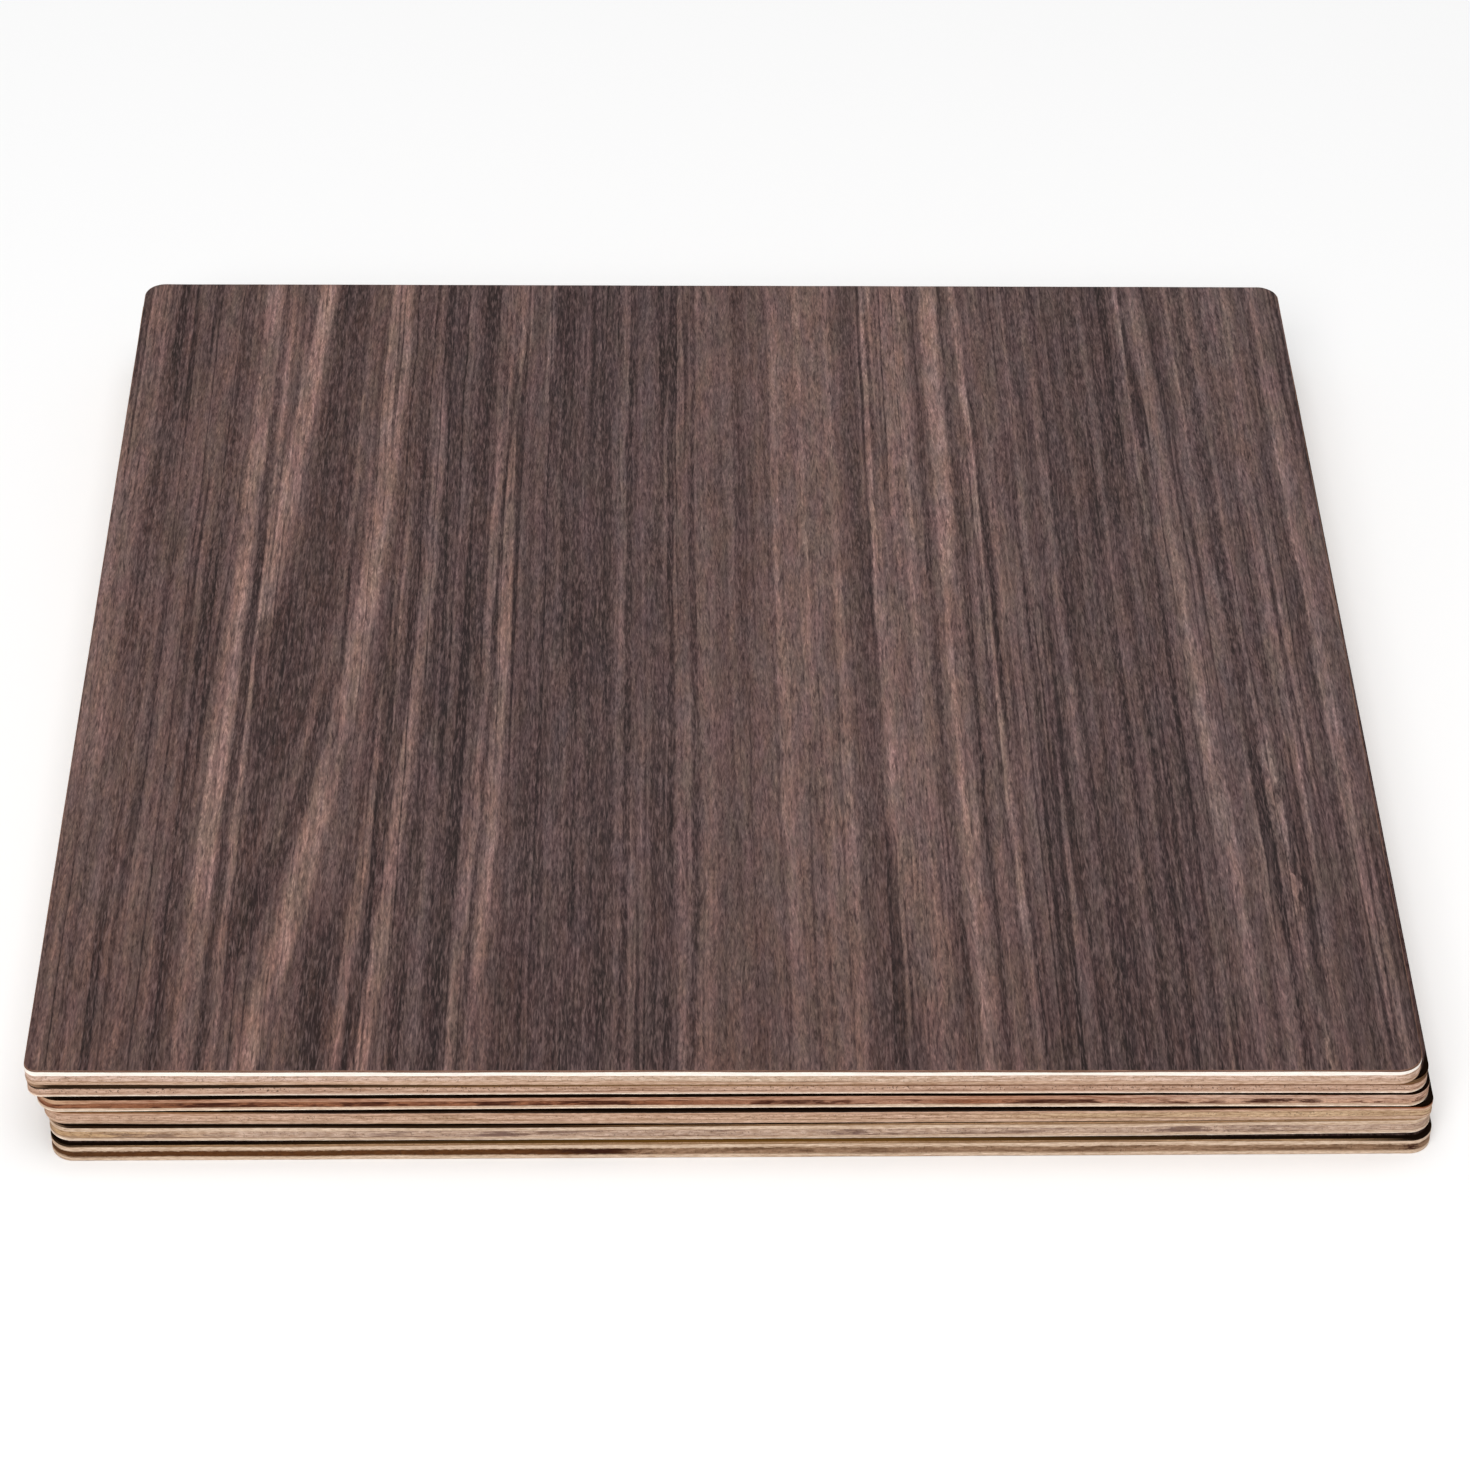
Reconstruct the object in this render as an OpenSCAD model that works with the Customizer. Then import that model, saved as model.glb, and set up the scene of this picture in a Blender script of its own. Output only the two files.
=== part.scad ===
// Stack of walnut-faced plywood sheets, lying flat and a little out of line.
// Units are millimetres, +Z is up, the floor is z = 0, X is across the grain and Y along it.

/* [Sheet] */
// Nominal width of a sheet, across the grain
sheet_w = 200; // [100:1:400]
// Depth of a sheet, along the grain
sheet_d = 200; // [100:1:400]
// Nominal thickness of a sheet
sheet_t = 3; // [2.5:0.1:6]
// Radius of a sheet's four corners
corner_r = 3.5; // [1:0.5:12]

/* [Plies] */
// Thickness of the dark walnut face veneer
veneer_t = 0.3; // [0.2:0.05:0.5]
// Thickness of the light ply under the veneer
face_ply_t = 0.65; // [0.3:0.05:0.8]
// Thickness of the light ply on the back
back_ply_t = 0.65; // [0.3:0.05:0.8]

/* [Stack] */
// Largest slip of a sheet to the left or right
side_slip = 1.1; // [0:0.1:4]
// Largest slip of a sheet to the front or back
depth_slip = 0.6; // [0:0.1:4]
// Largest turn of a sheet about the upright, in degrees
turn = 0.38; // [0:0.02:1]
// Largest bow of a sheet across its width
bow = 0.45; // [0:0.05:1.2]
// Air between two sheets where they come closest
rest_gap = 0.05; // [0.02:0.01:0.2]

/* [Hidden] */
// Each list runs from the lowest sheet to the top one.
// Thickness after sanding, of the nominal thickness
thickness_shares = [1, 0.95, 0.9, 0.85, 0.92, 0.92];
// Width as cut, of the nominal width
width_shares = [1.003, 1.002, 1.004, 1.0045, 1.007, 1];
// Crown of the sheet, of the largest bow: the edges lift where it is negative
bow_shares = [0, -1, -0.9, 0.65, 0.45, 0];
// Place of the sheet, of the largest slips
side_shares = [0.93, 0.7, 0.55, -0.17, -0.68, -1];
depth_shares = [-0.55, 0.6, 1, 0.4, 0.7, -1];
// Turn of the sheet, of the largest turn
turn_shares = [0.9, 1, 0.6, 0.7, 0.4, -0.1];
// Rounding of the corners after sanding, of the nominal radius, anticlockwise from the front left
corner_shares = [
    [1, 1, 1, 1],
    [1, 1, 1, 1],
    [1, 0.6, 1, 1],
    [1, 1, 1, 1],
    [0.6, 1, 1, 1],
    [0.55, 1.1, 1, 1]
];
// Ways from a sheet's middle to its corners
ways = [[-1, -1], [1, -1], [1, 1], [-1, 1]];

// Number of sheets in the stack
sheet_count = len(thickness_shares);
// Flat stretches that follow a sheet's bow
bow_steps = 12;
// Fineness of the round corners
corner_steps = 48;
// How far a cutting solid runs past what it cuts
overrun = 1;

// Width of the widest sheet, and the furthest that any reaches from the stack's middle, in X and in Y
widest = sheet_w * max(width_shares);
reach_x = widest / 2 + side_slip + sheet_d / 2 * sin(turn);
reach_y = sheet_d / 2 + depth_slip + widest / 2 * sin(turn);

// Width, thickness and crown of one sheet
function width(i) = sheet_w * width_shares[i];
function thickness(i) = sheet_t * thickness_shares[i];
function crown(i) = bow * bow_shares[i];

// Radius of a sheet's corner, and the middle of its arc
function radius(i, k) = corner_r * corner_shares[i][k];
function corner(i, k) = [
    ways[k].x * (width(i) / 2 - radius(i, k)),
    ways[k].y * (sheet_d / 2 - radius(i, k))
];

// Points where a corner's arc meets the two sides, the even ones on a left or right side
function arc_end(i, k, n) = corner(i, k)
    + radius(i, k) * ((k + n) % 2 == 0 ? [ways[k].x, 0] : [0, ways[k].y]);

// Height of a sheet's lower face where its reach ends. A sheet that bows more than the one under it
// rests on that one's middle, and a sheet that bows less rests on its edges.
function level(i) = i == 0
    ? max(0, -crown(i))
    : level(i - 1) + thickness(i - 1) + rest_gap + max(0, crown(i - 1) - crown(i));

// Rise of a sheet above that height, a parabola across the stack that is zero at its reach
function rise(i, x) = crown(i) * (1 - pow(x / reach_x, 2));

// Places across the stack at which the bow is drawn
function station(k) = (reach_x + overrun) * (2 * k / bow_steps - 1);

stack_h = level(sheet_count - 1) + thickness(sheet_count - 1) + bow;

function node_name(i, ply) = str("sheet_", i + 1, "_", ply);
plies = ["back_ply", "core_ply", "face_ply", "walnut_veneer"];

// Plan of a sheet: a rectangle with round corners
module sheet_plan(i) {
    polygon([for (k = [0 : 3]) for (n = [0, 1]) arc_end(i, k, n)]);
    for (k = [0 : 3])
        translate(corner(i, k))
            circle(r = radius(i, k), $fn = corner_steps);
}

// Upright block with a sheet's plan, at the place where that sheet lies
module sheet_block(i) {
    translate([side_slip * side_shares[i], depth_slip * depth_shares[i], -overrun])
        rotate(turn * turn_shares[i])
            linear_extrude(height = stack_h + 2 * overrun)
                sheet_plan(i);
}

// Bowed band across the stack, between two heights above a sheet's lower face
module bowed_band(i, low, high) {
    lower = [for (k = [0 : bow_steps]) [station(k), level(i) + rise(i, station(k)) + low]];
    upper = [for (k = [bow_steps : -1 : 0]) [station(k), level(i) + rise(i, station(k)) + high]];
    rotate([90, 0, 0])
        linear_extrude(height = 2 * (reach_y + overrun), center = true)
            polygon(concat(lower, upper));
}

// One layer of a sheet, between two heights above its lower face
module layer(i, low, high) {
    intersection() {
        sheet_block(i);
        bowed_band(i, low, high);
    }
}

// Light ply on the back of a sheet
module back_ply(i) {
    color([0.83, 0.73, 0.62])
        layer(i, 0, back_ply_t);
}

// Darker ply in the middle, which takes up what the others leave of the thickness
module core_ply(i) {
    color([0.55, 0.39, 0.29])
        layer(i, back_ply_t, thickness(i) - veneer_t - face_ply_t);
}

// Light ply that carries the veneer
module face_ply(i) {
    color([0.9, 0.82, 0.73])
        layer(i, thickness(i) - veneer_t - face_ply_t, thickness(i) - veneer_t);
}

// Dark walnut face
module walnut_veneer(i) {
    color([0.33, 0.25, 0.23])
        layer(i, thickness(i) - veneer_t, thickness(i));
}

for (i = [0 : sheet_count - 1]) {
    back_ply(i);
    core_ply(i);
    face_ply(i);
    walnut_veneer(i);
}
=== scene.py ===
"""Looks of a stack of six walnut-faced plywood sheets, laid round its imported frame.

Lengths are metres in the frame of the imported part: +Z is up, X runs across the
walnut's grain, Y runs along it, and the viewer stands at -Y.
"""

import logging
import math
from dataclasses import dataclass, field
from enum import Enum

import bpy
import numpy as np
from mathutils import Matrix


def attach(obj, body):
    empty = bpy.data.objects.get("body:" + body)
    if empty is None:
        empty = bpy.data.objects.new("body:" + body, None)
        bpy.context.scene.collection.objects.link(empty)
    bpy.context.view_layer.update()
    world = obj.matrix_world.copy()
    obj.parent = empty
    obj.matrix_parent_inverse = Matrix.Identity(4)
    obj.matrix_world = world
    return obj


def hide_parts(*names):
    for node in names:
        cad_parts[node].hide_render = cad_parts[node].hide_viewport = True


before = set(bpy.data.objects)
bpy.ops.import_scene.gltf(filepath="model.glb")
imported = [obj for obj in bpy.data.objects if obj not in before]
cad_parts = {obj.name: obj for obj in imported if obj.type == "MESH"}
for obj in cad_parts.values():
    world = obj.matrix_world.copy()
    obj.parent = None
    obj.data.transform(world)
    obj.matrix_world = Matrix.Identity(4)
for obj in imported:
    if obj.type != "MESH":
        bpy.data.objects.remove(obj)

LOG = logging.getLogger("plywood_stack")
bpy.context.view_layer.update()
MM = 0.001
BAKE_MAP = "OFBake"
CORNERS = np.array([[-1.0, -1.0], [1.0, -1.0], [1.0, 1.0], [-1.0, 1.0]])
QUARTER_TURN = 90.0
# Largest turn in degrees at which a sheet is looked for, and how many turns are tried
TURN_LIMIT, TURN_TRIALS = 1.5, 3001
# A glue line's waves, their shortest and longest length in millimetres, and what their sum is
# divided by
GLUE_WAVES, GLUE_LENGTHS, GLUE_SUM = 5, (14, 60), 3
# Turn in degrees past which the edge between two faces stays sharp
SHARP_TURN = 40
# Numbers of the sockets of a Mix node that mixes colours
MIX_SHARE, MIX_FIRST, MIX_SECOND, MIX_RESULT = 0, 6, 7, 2

Colour = tuple[float, float, float]
Stops = tuple[tuple[float, Colour], ...]
Pair = tuple[float, float]
Ease = tuple[float, float, Pair]
Socket = bpy.types.NodeSocket


def paint(red: int, green: int, blue: int) -> Colour:
    """Turn a colour picked on a screen into the linear values that shaders take.

    Args:
        red, green, blue: screen values from 0 to 255.

    Returns:
        The three linear values, by the sRGB curve: a straight toe, then a power of 2.4.
    """
    share = np.array([red, green, blue]) / 255.0
    linear = np.where(share <= 0.04045, share / 12.92, ((share + 0.055) / 1.055) ** 2.4)
    return tuple(float(value) for value in linear)


def strips(*rows: tuple[float, int, int, int]) -> Stops:
    """Give colours along a length: each row is a place and a colour picked on a screen."""
    return tuple((place, paint(*colour)) for place, *colour in rows)


def plain(red: int, green: int, blue: int) -> Stops:
    """Give one colour for a whole length."""
    return strips((0.0, red, green, blue))


class Layer(Enum):
    """The four layers of a sheet, from its underside up, by the end of their node's name."""

    BACK = "back_ply"
    CORE = "core_ply"
    FACE = "face_ply"
    VENEER = "walnut_veneer"

    @property
    def slot(self) -> str:
        """The record's material slot of this layer."""
        return "light_ply" if self in (Layer.BACK, Layer.FACE) else self.value

    @property
    def grain_along_y(self) -> bool:
        """Whether the layer's grain runs front to back; each layer crosses the one below."""
        return self in (Layer.CORE, Layer.VENEER)


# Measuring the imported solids


@dataclass(frozen=True)
class Plan:
    """A sheet's outline from above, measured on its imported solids."""

    centre: np.ndarray
    turn: float
    width: float
    depth: float
    radii: np.ndarray

    @classmethod
    def of(cls, points: np.ndarray) -> "Plan":
        """Measure the outline as the smallest upright box over a range of trial turns.

        A corner's radius follows from how far the outline reaches along that diagonal: a sharp
        corner reaches (a + b) / sqrt 2, and each unit of radius takes sqrt 2 - 1 off.

        Args:
            points: the solid's corners, one row each.

        Returns:
            The outline.
        """
        trial = np.radians(np.linspace(-TURN_LIMIT, TURN_LIMIT, TURN_TRIALS))
        across = points[:, :1] * np.cos(trial) + points[:, 1:2] * np.sin(trial)
        along = points[:, 1:2] * np.cos(trial) - points[:, :1] * np.sin(trial)
        best = int(np.argmin(np.ptp(across, axis=0) * np.ptp(along, axis=0)))
        u, v = across[:, best], along[:, best]
        middle = np.array([u.max() + u.min(), v.max() + v.min()]) / 2
        half = np.array([np.ptp(u), np.ptp(v)]) / 2
        offset = np.column_stack([u - middle[0], v - middle[1]])
        reach = np.max(offset @ CORNERS.T, axis=0) / math.sqrt(2)
        radii = (half.sum() / math.sqrt(2) - reach) / (math.sqrt(2) - 1)
        turn = float(trial[best])
        spin = np.array([[math.cos(turn), -math.sin(turn)], [math.sin(turn), math.cos(turn)]])
        return cls(spin @ middle, turn, 2 * half[0], 2 * half[1], radii)

    def place(self, flat: np.ndarray) -> np.ndarray:
        """Turn points of the sheet's own plan and move them to where the sheet lies.

        Args:
            flat: points of the plan, one row each, from the sheet's centre.

        Returns:
            The same points in the frame.
        """
        c, s = math.cos(self.turn), math.sin(self.turn)
        return flat @ np.array([[c, s], [-s, c]]) + self.centre

    def inward(self, flat: np.ndarray) -> np.ndarray:
        """Work out how far points of the sheet's own plan lie inside its outline.

        Beside a corner's arc that is the radius less the way from the arc's centre, and
        elsewhere the way to the nearer side.

        Args:
            flat: points of the plan, one row each, from the sheet's centre.

        Returns:
            The lengths.
        """
        radius = self.radii[np.argmax(flat @ CORNERS.T, axis=1)]
        past = np.abs(flat) - np.array([self.width, self.depth]) / 2 + radius[:, None]
        beside = np.linalg.norm(np.maximum(past, 0), axis=1)
        return radius - beside - np.minimum(past.max(axis=1), 0)


@dataclass(frozen=True)
class Lay:
    """A layer's bow and thickness: its middle surface is a parabola along X."""

    bow: np.ndarray
    thickness: float

    @classmethod
    def of(cls, points: np.ndarray) -> "Lay":
        """Fit the parabola to all corners; they lie half a thickness above and below it.

        Args:
            points: the solid's corners, one row each.

        Returns:
            The bow and the thickness.
        """
        bow = np.polyfit(points[:, 0], points[:, 2], 2)
        off = points[:, 2] - np.polyval(bow, points[:, 0])
        return cls(bow, 2 * float(np.mean(np.abs(off))))

    def level(self, x: np.ndarray, share: np.ndarray | float) -> np.ndarray:
        """Height at x, a share of the thickness above the layer's lower surface."""
        return np.polyval(self.bow, x) + (share - 0.5) * self.thickness


def corners_of(node: str) -> np.ndarray:
    """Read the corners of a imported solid.

    Args:
        node: the solid's name.

    Returns:
        The corners, one row each.
    """
    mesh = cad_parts[node].data
    flat = np.empty(3 * len(mesh.vertices))
    mesh.vertices.foreach_get("co", flat)
    return flat.reshape(-1, 3)


# Surfaces


@dataclass(frozen=True)
class RimSteps:
    """How finely a rim is stepped: along its front and back, its sides and half a corner."""

    front: int = 96
    side: int = 44
    arc: int = 6

    @property
    def counts(self) -> tuple[int, int]:
        """Steps from the middle of one corner to the next, along the front and along a side."""
        return self.front + 2 * self.arc, self.side + 2 * self.arc


def rim(plan: Plan, steps: RimSteps) -> tuple[np.ndarray, np.ndarray]:
    """Trace a sheet's outline anticlockwise from the middle of its front left corner.

    A point is a corner's centre plus its radius along the outward normal. On a straight
    side the centre and the radius slide to those of the next corner and the normal stands
    still; round a corner they stand still and the normal turns.

    Args:
        plan: the outline.
        steps: how finely it is stepped.

    Returns:
        The points and the outward normals, in the sheet's own plan.
    """
    arc, half_corner = steps.arc, QUARTER_TURN / 2
    start = CORNERS * (np.array([plan.width, plan.depth]) / 2 - plan.radii[:, None])
    move = np.roll(start, -1, axis=0) - start
    grow = np.roll(plan.radii, -1) - plan.radii
    points, normals = [], []
    for side, straight in enumerate((steps.front, steps.side) * 2):
        slide = np.concatenate([np.zeros(arc), np.linspace(0, 1, straight + 1), np.ones(arc - 1)])
        swing = np.concatenate([
            np.linspace(-half_corner, 0, arc, endpoint=False),
            np.zeros(straight + 1),
            np.linspace(0, half_corner, arc + 1)[1:-1],
        ])
        angle = np.radians(QUARTER_TURN * (side - 1) + swing)
        normals.append(np.stack([np.cos(angle), np.sin(angle)], axis=-1))
        radius = plan.radii[side] + slide * grow[side]
        points.append(start[side] + slide[:, None] * move[side] + radius[:, None] * normals[-1])
    return np.concatenate(points), np.concatenate(normals)


def sides_of(counts: tuple[int, int]) -> list[tuple[int, int]]:
    """List where each of a rim's four sides starts and ends, as numbers of its points."""
    turns = np.cumsum([0, *counts, *counts])
    return list(zip(turns, turns[1:]))


def panel(loop: np.ndarray, counts: tuple[int, int]) -> np.ndarray:
    """Fill a closed four-sided rim with a grid.

    With u from left to right and v from front to back, a point is the blend of the front
    and back rims by v, plus the blend of the left and right rims by u, less the blend of
    the four corners by both (a Coons patch).

    Args:
        loop: the rim's points.
        counts: the steps of its front and of its side.

    Returns:
        The grid, rows from front to back.
    """
    ring = np.vstack([loop, loop[:1]])
    front, right, back, left = (ring[a : b + 1] for a, b in sides_of(counts))
    back, left = back[::-1], left[::-1]
    u = ((front[:, 0] - front[0, 0]) / np.ptp(front[:, 0]))[None, :, None]
    v = ((right[:, 1] - right[0, 1]) / np.ptp(right[:, 1]))[:, None, None]
    front_ends = (1 - u) * front[0] + u * front[-1]
    back_ends = (1 - u) * back[0] + u * back[-1]
    ends = (1 - v) * front_ends + v * back_ends
    return (1 - v) * front + v * back + (1 - u) * left[:, None] + u * right[:, None] - ends


def grid_numbers(counts: tuple[int, int]) -> np.ndarray:
    """Number the points of a panel, rows from front to back."""
    across, along = counts
    return np.arange((along + 1) * (across + 1)).reshape(along + 1, across + 1)


def border(counts: tuple[int, int]) -> np.ndarray:
    """List the numbers of a panel's border points in the order of its rim.

    Args:
        counts: the steps of its front and of its side.

    Returns:
        The numbers, anticlockwise from the front left corner.
    """
    number = grid_numbers(counts)
    return np.concatenate([number[0, :-1], number[:-1, -1], number[-1, :0:-1], number[:0:-1, 0]])


def cells_of(number: np.ndarray) -> np.ndarray:
    """List the four-sided faces of a grid of point numbers, looking up."""
    corners = (number[:-1, :-1], number[:-1, 1:], number[1:, 1:], number[1:, :-1])
    return np.stack(corners, axis=-1).reshape(-1, 4)


def quads(lower: np.ndarray, upper: np.ndarray) -> np.ndarray:
    """Join two rings of point numbers by a band of four-sided faces that look outwards."""
    return np.stack([lower, np.roll(lower, -1), np.roll(upper, -1), upper], axis=-1)


def smooth_noise(rows: int, count: int, spread: float, seed: int) -> np.ndarray:
    """Make rows of even, closed noise round a rim.

    White noise is blurred by a bell curve in its spectrum, so that each row joins up with
    its own start, and is then scaled to a spread of 1.

    Args:
        rows: how many rows.
        count: points round the rim.
        spread: width of the blur, in points.
        seed: the row's own start of the random numbers.

    Returns:
        The noise, one row each.
    """
    white = np.random.default_rng(seed).normal(size=(rows, count))
    bell = np.exp(-2 * (math.pi * np.fft.rfftfreq(count) * spread) ** 2)
    soft = np.fft.irfft(np.fft.rfft(white, axis=1) * bell, n=count, axis=1)
    return soft / soft.std()


def glue_line(points: np.ndarray, seed: int) -> np.ndarray:
    """How far a glue line strays from its flat place, as a sum of a few long waves.

    Args:
        points: places in the frame, one row each.
        seed: the line's own start of the random numbers.

    Returns:
        The strays, from about -1 to 1.
    """
    random = np.random.default_rng(seed)
    length = random.uniform(*GLUE_LENGTHS, GLUE_WAVES) * MM
    heading = random.uniform(0, math.tau, GLUE_WAVES)
    waves = np.stack([np.cos(heading), np.sin(heading)]) * (math.tau / length)
    phase = random.uniform(0, math.tau, GLUE_WAVES)
    return np.sin(points @ waves + phase).sum(axis=-1) / GLUE_SUM


def as_piece(
    name: str,
    points: np.ndarray,
    faces: np.ndarray,
    marks: dict[str, np.ndarray] | None = None,
    chart: np.ndarray | None = None,
) -> bpy.types.Object:
    """Put arrays into a new mesh object at the origin.

    Args:
        name: the piece's name.
        points: its points, one row each.
        faces: its four-sided faces, one row of point numbers each.
        marks: values for each point, by the name of their attribute.
        chart: the flat place of each face's four corners, for baking.

    Returns:
        The object, smooth but for its edges.
    """
    mesh = bpy.data.meshes.new(name)
    mesh.vertices.add(len(points))
    mesh.vertices.foreach_set("co", points.astype(np.float32).ravel())
    mesh.loops.add(faces.size)
    mesh.loops.foreach_set("vertex_index", faces.astype(np.int32).ravel())
    mesh.polygons.add(len(faces))
    mesh.polygons.foreach_set("loop_start", np.arange(0, faces.size, 4, dtype=np.int32))
    mesh.update(calc_edges=True)
    if chart is not None:
        mesh.uv_layers.new(name=BAKE_MAP).data.foreach_set("uv", chart.astype(np.float32).ravel())
    mesh.validate()
    for mark, values in (marks or {}).items():
        layer = mesh.attributes.new(mark, "FLOAT", "POINT")
        layer.data.foreach_set("value", values.astype(np.float32))
    mesh.shade_smooth()
    mesh.set_sharp_from_angle(angle=math.radians(SHARP_TURN))
    piece = bpy.data.objects.new(name, mesh)
    bpy.context.scene.collection.objects.link(piece)
    return piece


# Flat charts for baking


def share_of(points: np.ndarray, plan: Plan) -> np.ndarray:
    """Give places on a sheet's own plan as shares of its width and depth, from 0 to 1."""
    return np.clip(points / np.array([plan.width, plan.depth]) + 0.5, 0, 1)


@dataclass(frozen=True)
class Tile:
    """A rectangle of a chart."""

    left: float
    low: float
    width: float
    height: float

    def fit(self, share: np.ndarray) -> np.ndarray:
        """Map shares from 0 to 1 into the rectangle."""
        return np.array([self.left, self.low]) + share * np.array([self.width, self.height])


@dataclass(frozen=True)
class BakeSheet:
    """Where a layer's two faces and four sides lie on its chart.

    A planed face takes most of the chart, a hidden one little; the sides are strips drawn
    out in height, since they are hundreds of times longer than high.
    """

    lower: Tile
    upper: Tile
    strips: tuple[Tile, Tile, Tile, Tile]

    @classmethod
    def of(cls, layer: Layer) -> "BakeSheet":
        """Choose the chart of a layer.

        Args:
            layer: which layer.

        Returns:
            The chart.
        """
        large, small = Tile(0.01, 0.01, 0.84, 0.84), Tile(0.87, 0.01, 0.12, 0.84)
        slim = tuple(Tile(0.01, 0.87 + 0.032 * k, 0.98, 0.022) for k in range(4))
        tall = tuple(Tile(0.01, 0.01 + 0.2 * k, 0.98, 0.17) for k in range(4))
        hidden = Tile(0.01, 0.82, 0.47, 0.16), Tile(0.51, 0.82, 0.47, 0.16)
        charts = {
            Layer.BACK: cls(large, small, slim),
            Layer.VENEER: cls(small, large, slim),
        }
        return charts.get(layer, cls(*hidden, tall))

    def lay_out(
        self,
        lower: np.ndarray,
        upper: np.ndarray,
        points: np.ndarray,
        counts: tuple[int, int],
        rises: np.ndarray,
    ) -> np.ndarray:
        """Give every face's corners their place.

        A side's strip runs along the rim's length from corner to corner, and up by the rise.

        Args:
            lower, upper: the corners of the two faces' cells, as shares of the sheet.
            points: the rim's points.
            counts: the steps of the rim's front and of its side.
            rises: the rings' rises.

        Returns:
            The places, in the order of the faces.
        """
        step = np.linalg.norm(np.roll(points, -1, axis=0) - points, axis=1)
        starts, ends, tiles = [], [], []
        for (a, b), tile in zip(sides_of(counts), self.strips):
            reach = np.cumsum(step[a:b]) / step[a:b].sum()
            ends.append(reach)
            starts.append(np.concatenate([[0.0], reach[:-1]]))
            tiles.append(np.tile([tile.left, tile.low, tile.width, tile.height], (b - a, 1)))
        start, end, tile = np.concatenate(starts), np.concatenate(ends), np.concatenate(tiles)
        run = np.stack([start, end, end, start], axis=-1)
        up = np.stack([rises[:-1], rises[:-1], rises[1:], rises[1:]], axis=-1)
        u = np.broadcast_to((tile[:, :1] + tile[:, 2:3] * run)[None], (len(up), *run.shape))
        v = tile[None, :, 1:2] + tile[None, :, 3:4] * up[:, None, :]
        sides = np.stack([u, v], axis=-1).reshape(-1, 4, 2)
        return np.concatenate([self.lower.fit(lower), self.upper.fit(upper), sides])


# Shader wiring


class Wiring:
    """Adds nodes to one shader tree and joins them in plain calls."""

    def __init__(self, tree: bpy.types.NodeTree) -> None:
        """Take the tree that the nodes go into."""
        self.tree = tree

    def feed(self, socket: Socket, value: object) -> None:
        """Link a socket to another, or set it to a plain value.

        Args:
            socket: the input.
            value: another node's output, or a number or colour.
        """
        if isinstance(value, Socket):
            self.tree.links.new(value, socket)
        else:
            socket.default_value = value

    def node(self, kind: str, inputs: dict | None = None, **settings: object) -> bpy.types.Node:
        """Add a node.

        Args:
            kind: the node's type, without its leading word.
            inputs: values or sockets, by the input's name or number.
            settings: the node's own properties.

        Returns:
            The node.
        """
        made = self.tree.nodes.new("ShaderNode" + kind)
        for key, value in settings.items():
            setattr(made, key, value)
        for key, value in (inputs or {}).items():
            self.feed(made.inputs[key], value)
        return made

    def math(self, operation: str, *values: object) -> Socket:
        """Add a Math node on the given values and return what it gives."""
        return self.node("Math", dict(enumerate(values)), operation=operation).outputs[0]

    def times(self, first: object, second: object) -> Socket:
        """Multiply two values."""
        return self.math("MULTIPLY", first, second)

    def scaled(self, value: object, scale: object, base: object) -> Socket:
        """Multiply a value by a scale and add it to a base."""
        return self.math("MULTIPLY_ADD", value, scale, base)

    def between(self, share: Socket, low: float, high: float) -> Socket:
        """Go from a low value to a high one by a share."""
        return self.scaled(share, high - low, low)

    def apart(self, first: object, second: object) -> Socket:
        """Work out how far two values lie apart."""
        return self.math("ABSOLUTE", self.math("SUBTRACT", first, second))

    def sway(self, base: object, noise: Socket, reach: object) -> Socket:
        """Move a base to and fro by a noise about its middle, times a reach."""
        return self.scaled(self.math("SUBTRACT", noise, 0.5), reach, base)

    def axes(self, place: Socket) -> tuple[Socket, Socket, Socket]:
        """Part a place into its three coordinates."""
        return tuple(self.node("SeparateXYZ", {0: place}).outputs)

    def group(self, tree: bpy.types.NodeTree, inputs: dict) -> bpy.types.bpy_prop_collection:
        """Put a node group in with its own values and return its outputs."""
        return self.node("Group", inputs, node_tree=tree).outputs

    def step(self, value: Socket, low: object, high: object, to: tuple = (0.0, 1.0)) -> Socket:
        """Ease a value from one limit to another.

        Args:
            value: the value.
            low, high: where the ease starts and ends.
            to: what it gives at the two.

        Returns:
            The eased value.
        """
        limits = {"From Min": low, "From Max": high, "To Min": to[0], "To Max": to[1]}
        made = self.node("MapRange", {"Value": value, **limits}, interpolation_type="SMOOTHSTEP")
        return made.outputs[0]

    def blend(self, share: object, first: object, second: object, mode: str = "MIX") -> Socket:
        """Mix two colours.

        Args:
            share: how much the second counts, from 0 to 1.
            first, second: the colours.
            mode: how they are mixed.

        Returns:
            The mix.
        """
        made = self.node("Mix", data_type="RGBA", blend_type=mode, clamp_factor=True)
        for number, value in ((MIX_SHARE, share), (MIX_FIRST, first), (MIX_SECOND, second)):
            self.feed(made.inputs[number], (*value, 1.0) if isinstance(value, tuple) else value)
        return made.outputs[MIX_RESULT]

    def tinted(self, colour: object, tint: object) -> Socket:
        """Multiply a colour by another."""
        return self.blend(1.0, colour, tint, "MULTIPLY")

    def noise(
        self,
        parts: tuple[Socket, Socket, Socket],
        scales: tuple,
        seed: object,
        detail: float = 1.0,
        rough: float = 0.5,
    ) -> Socket:
        """Add a noise texture on three coordinates, each scaled and moved by a seed.

        Args:
            parts: the coordinates.
            scales: how much each is multiplied.
            seed: a number that moves the pattern to another place.
            detail, rough: how many finer noises are added, and how strong they are.

        Returns:
            The noise, from 0 to 1 about a half.
        """
        moved = [self.scaled(part, scale, seed) for part, scale in zip(parts, scales)]
        vector = self.node("CombineXYZ", dict(enumerate(moved))).outputs[0]
        inputs = {"Vector": vector, "Scale": 1.0, "Detail": detail, "Roughness": rough}
        return self.node("TexNoise", inputs).outputs["Fac"]

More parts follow.
